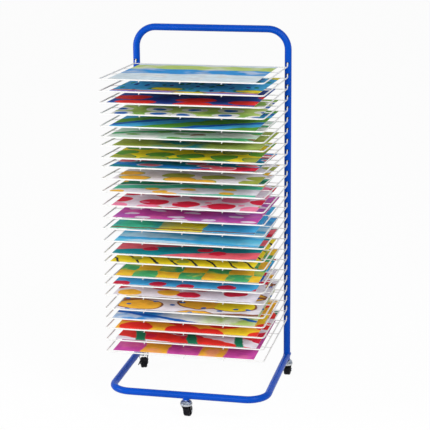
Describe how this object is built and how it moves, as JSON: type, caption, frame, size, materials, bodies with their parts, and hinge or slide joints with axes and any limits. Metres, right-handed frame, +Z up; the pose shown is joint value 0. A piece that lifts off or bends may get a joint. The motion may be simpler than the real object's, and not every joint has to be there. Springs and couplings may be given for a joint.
{
  "type": "art drying rack",
  "caption": "Free-standing mobile drying rack: a bent tube frame on swivel casters carries hinged wire shelves for wet sheets of paper.",
  "frame": {"origin": "on the floor, under the middle of the rack's bounding box", "axes": "+X to the right seen from the open front, +Y from the open front to the uprights at the back, +Z up, the longest extent"},
  "size_m": [0.457, 0.3981, 1.002],
  "materials": {
    "frame_paint": "royal blue powder coat, semi-gloss",
    "wire_coating": "white dipped coating on steel wire",
    "zinc_plate": "bright zinc plate",
    "fastener_steel": "zinc-plated steel",
    "plug_plastic": "moulded blue plastic",
    "wheel_tread": "black moulded wheel",
    "pedal_plastic": "black moulded plastic"
  },
  "bodies": {
    "frame": {"upright_hoop": "frame_paint", "base_frame": "frame_paint", "joint_screws": "fastener_steel", "joint_nuts": "fastener_steel", "rear_stub_left": "frame_paint", "end_plug_left": "plug_plastic", "rear_stub_right": "frame_paint", "end_plug_right": "plug_plastic", "caster_front_stem": "zinc_plate", "caster_front_boss": "frame_paint", "caster_rear_left_stem": "zinc_plate", "caster_rear_left_boss": "frame_paint", "caster_rear_right_stem": "zinc_plate", "caster_rear_right_boss": "frame_paint"},
    "shelf_01": {"shelf_01": "wire_coating"},
    "shelf_02": {"shelf_02": "wire_coating"},
    "shelf_03": {"shelf_03": "wire_coating"},
    "shelf_04": {"shelf_04": "wire_coating"},
    "shelf_05": {"shelf_05": "wire_coating"},
    "shelf_06": {"shelf_06": "wire_coating"},
    "shelf_07": {"shelf_07": "wire_coating"},
    "shelf_08": {"shelf_08": "wire_coating"},
    "shelf_09": {"shelf_09": "wire_coating"},
    "shelf_10": {"shelf_10": "wire_coating"},
    "shelf_11": {"shelf_11": "wire_coating"},
    "shelf_12": {"shelf_12": "wire_coating"},
    "shelf_13": {"shelf_13": "wire_coating"},
    "shelf_14": {"shelf_14": "wire_coating"},
    "shelf_15": {"shelf_15": "wire_coating"},
    "shelf_16": {"shelf_16": "wire_coating"},
    "shelf_17": {"shelf_17": "wire_coating"},
    "shelf_18": {"shelf_18": "wire_coating"},
    "shelf_19": {"shelf_19": "wire_coating"},
    "shelf_20": {"shelf_20": "wire_coating"},
    "shelf_21": {"shelf_21": "wire_coating"},
    "shelf_22": {"shelf_22": "wire_coating"},
    "shelf_23": {"shelf_23": "wire_coating"},
    "shelf_24": {"shelf_24": "wire_coating"},
    "shelf_25": {"shelf_25": "wire_coating"},
    "caster_front_swivel": {"caster_front_fork": "zinc_plate", "caster_front_axle": "zinc_plate", "caster_front_balls": "zinc_plate"},
    "caster_front_wheel": {"caster_front_wheel": "wheel_tread"},
    "caster_rear_left_swivel": {"caster_rear_left_fork": "zinc_plate", "caster_rear_left_axle": "zinc_plate", "caster_rear_left_balls": "zinc_plate", "caster_rear_left_brake_pin": "zinc_plate"},
    "caster_rear_left_wheel": {"caster_rear_left_wheel": "wheel_tread"},
    "caster_rear_left_brake": {"caster_rear_left_brake_pedal": "pedal_plastic"},
    "caster_rear_right_swivel": {"caster_rear_right_fork": "zinc_plate", "caster_rear_right_axle": "zinc_plate", "caster_rear_right_balls": "zinc_plate"},
    "caster_rear_right_wheel": {"caster_rear_right_wheel": "wheel_tread"}
  },
  "joints": [
    {"name": "shelf_01_lift", "type": "hinge", "parent": "frame", "child": "shelf_01", "pos_m": [0, 0.16205, 0.899], "axis": [-1, 0, 0], "range_deg": [0, 50]},
    {"name": "shelf_02_lift", "type": "hinge", "parent": "frame", "child": "shelf_02", "pos_m": [0, 0.16205, 0.869], "axis": [-1, 0, 0], "range_deg": [0, 50]},
    {"name": "shelf_03_lift", "type": "hinge", "parent": "frame", "child": "shelf_03", "pos_m": [0, 0.16205, 0.839], "axis": [-1, 0, 0], "range_deg": [0, 50]},
    {"name": "shelf_04_lift", "type": "hinge", "parent": "frame", "child": "shelf_04", "pos_m": [0, 0.16205, 0.809], "axis": [-1, 0, 0], "range_deg": [0, 50]},
    {"name": "shelf_05_lift", "type": "hinge", "parent": "frame", "child": "shelf_05", "pos_m": [0, 0.16205, 0.779], "axis": [-1, 0, 0], "range_deg": [0, 50]},
    {"name": "shelf_06_lift", "type": "hinge", "parent": "frame", "child": "shelf_06", "pos_m": [0, 0.16205, 0.749], "axis": [-1, 0, 0], "range_deg": [0, 50]},
    {"name": "shelf_07_lift", "type": "hinge", "parent": "frame", "child": "shelf_07", "pos_m": [0, 0.16205, 0.719], "axis": [-1, 0, 0], "range_deg": [0, 50]},
    {"name": "shelf_08_lift", "type": "hinge", "parent": "frame", "child": "shelf_08", "pos_m": [0, 0.16205, 0.689], "axis": [-1, 0, 0], "range_deg": [0, 50]},
    {"name": "shelf_09_lift", "type": "hinge", "parent": "frame", "child": "shelf_09", "pos_m": [0, 0.16205, 0.659], "axis": [-1, 0, 0], "range_deg": [0, 50]},
    {"name": "shelf_10_lift", "type": "hinge", "parent": "frame", "child": "shelf_10", "pos_m": [0, 0.16205, 0.629], "axis": [-1, 0, 0], "range_deg": [0, 50]},
    {"name": "shelf_11_lift", "type": "hinge", "parent": "frame", "child": "shelf_11", "pos_m": [0, 0.16205, 0.599], "axis": [-1, 0, 0], "range_deg": [0, 50]},
    {"name": "shelf_12_lift", "type": "hinge", "parent": "frame", "child": "shelf_12", "pos_m": [0, 0.16205, 0.569], "axis": [-1, 0, 0], "range_deg": [0, 50]},
    {"name": "shelf_13_lift", "type": "hinge", "parent": "frame", "child": "shelf_13", "pos_m": [0, 0.16205, 0.539], "axis": [-1, 0, 0], "range_deg": [0, 50]},
    {"name": "shelf_14_lift", "type": "hinge", "parent": "frame", "child": "shelf_14", "pos_m": [0, 0.16205, 0.509], "axis": [-1, 0, 0], "range_deg": [0, 50]},
    {"name": "shelf_15_lift", "type": "hinge", "parent": "frame", "child": "shelf_15", "pos_m": [0, 0.16205, 0.479], "axis": [-1, 0, 0], "range_deg": [0, 50]},
    {"name": "shelf_16_lift", "type": "hinge", "parent": "frame", "child": "shelf_16", "pos_m": [0, 0.16205, 0.449], "axis": [-1, 0, 0], "range_deg": [0, 50]},
    {"name": "shelf_17_lift", "type": "hinge", "parent": "frame", "child": "shelf_17", "pos_m": [0, 0.16205, 0.419], "axis": [-1, 0, 0], "range_deg": [0, 50]},
    {"name": "shelf_18_lift", "type": "hinge", "parent": "frame", "child": "shelf_18", "pos_m": [0, 0.16205, 0.389], "axis": [-1, 0, 0], "range_deg": [0, 50]},
    {"name": "shelf_19_lift", "type": "hinge", "parent": "frame", "child": "shelf_19", "pos_m": [0, 0.16205, 0.359], "axis": [-1, 0, 0], "range_deg": [0, 50]},
    {"name": "shelf_20_lift", "type": "hinge", "parent": "frame", "child": "shelf_20", "pos_m": [0, 0.16205, 0.329], "axis": [-1, 0, 0], "range_deg": [0, 50]},
    {"name": "shelf_21_lift", "type": "hinge", "parent": "frame", "child": "shelf_21", "pos_m": [0, 0.16205, 0.299], "axis": [-1, 0, 0], "range_deg": [0, 50]},
    {"name": "shelf_22_lift", "type": "hinge", "parent": "frame", "child": "shelf_22", "pos_m": [0, 0.16205, 0.269], "axis": [-1, 0, 0], "range_deg": [0, 50]},
    {"name": "shelf_23_lift", "type": "hinge", "parent": "frame", "child": "shelf_23", "pos_m": [0, 0.16205, 0.239], "axis": [-1, 0, 0], "range_deg": [0, 50]},
    {"name": "shelf_24_lift", "type": "hinge", "parent": "frame", "child": "shelf_24", "pos_m": [0, 0.16205, 0.209], "axis": [-1, 0, 0], "range_deg": [0, 50]},
    {"name": "shelf_25_lift", "type": "hinge", "parent": "frame", "child": "shelf_25", "pos_m": [0, 0.16205, 0.179], "axis": [-1, 0, 0], "range_deg": [0, 50]},
    {"name": "caster_front_swivel_turn", "type": "hinge", "parent": "frame", "child": "caster_front_swivel", "pos_m": [0, -0.17905, 0.036], "axis": [0, 0, 1], "continuous": true},
    {"name": "caster_front_wheel_spin", "type": "hinge", "parent": "caster_front_swivel", "child": "caster_front_wheel", "pos_m": [0.00125, -0.16712, 0.0155], "axis": [-0.9945, 0.1045, 0], "continuous": true},
    {"name": "caster_rear_left_swivel_turn", "type": "hinge", "parent": "frame", "child": "caster_rear_left_swivel", "pos_m": [-0.212, 0.17095, 0.036], "axis": [0, 0, 1], "continuous": true},
    {"name": "caster_rear_left_wheel_spin", "type": "hinge", "parent": "caster_rear_left_swivel", "child": "caster_rear_left_wheel", "pos_m": [-0.2079, 0.15967, 0.0155], "axis": [0.9397, 0.342, 0], "continuous": true},
    {"name": "caster_rear_left_brake_press", "type": "hinge", "parent": "caster_rear_left_swivel", "child": "caster_rear_left_brake", "pos_m": [-0.20294, 0.14605, 0.03], "axis": [0.9397, 0.342, 0], "range_deg": [0, 12]},
    {"name": "caster_rear_right_swivel_turn", "type": "hinge", "parent": "frame", "child": "caster_rear_right_swivel", "pos_m": [0.212, 0.17095, 0.036], "axis": [0, 0, 1], "continuous": true},
    {"name": "caster_rear_right_wheel_spin", "type": "hinge", "parent": "caster_rear_right_swivel", "child": "caster_rear_right_wheel", "pos_m": [0.21158, 0.18294, 0.0155], "axis": [-0.9994, -0.0349, 0], "continuous": true}
  ],
  "couplings": [
    {"joint": "shelf_02_lift", "follows": "shelf_01_lift", "ratio": 1},
    {"joint": "shelf_03_lift", "follows": "shelf_01_lift", "ratio": 1},
    {"joint": "shelf_04_lift", "follows": "shelf_01_lift", "ratio": 1},
    {"joint": "shelf_05_lift", "follows": "shelf_01_lift", "ratio": 1},
    {"joint": "shelf_06_lift", "follows": "shelf_01_lift", "ratio": 1},
    {"joint": "shelf_07_lift", "follows": "shelf_01_lift", "ratio": 1},
    {"joint": "shelf_08_lift", "follows": "shelf_01_lift", "ratio": 1},
    {"joint": "shelf_09_lift", "follows": "shelf_01_lift", "ratio": 1},
    {"joint": "shelf_10_lift", "follows": "shelf_01_lift", "ratio": 1},
    {"joint": "shelf_11_lift", "follows": "shelf_01_lift", "ratio": 1},
    {"joint": "shelf_12_lift", "follows": "shelf_01_lift", "ratio": 1},
    {"joint": "shelf_13_lift", "follows": "shelf_01_lift", "ratio": 1},
    {"joint": "shelf_14_lift", "follows": "shelf_01_lift", "ratio": 1},
    {"joint": "shelf_15_lift", "follows": "shelf_01_lift", "ratio": 1},
    {"joint": "shelf_16_lift", "follows": "shelf_01_lift", "ratio": 1},
    {"joint": "shelf_17_lift", "follows": "shelf_01_lift", "ratio": 1},
    {"joint": "shelf_18_lift", "follows": "shelf_01_lift", "ratio": 1},
    {"joint": "shelf_19_lift", "follows": "shelf_01_lift", "ratio": 1},
    {"joint": "shelf_20_lift", "follows": "shelf_01_lift", "ratio": 1},
    {"joint": "shelf_21_lift", "follows": "shelf_01_lift", "ratio": 1},
    {"joint": "shelf_22_lift", "follows": "shelf_01_lift", "ratio": 1},
    {"joint": "shelf_23_lift", "follows": "shelf_01_lift", "ratio": 1},
    {"joint": "shelf_24_lift", "follows": "shelf_01_lift", "ratio": 1},
    {"joint": "shelf_25_lift", "follows": "shelf_01_lift", "ratio": 1}
  ]
}
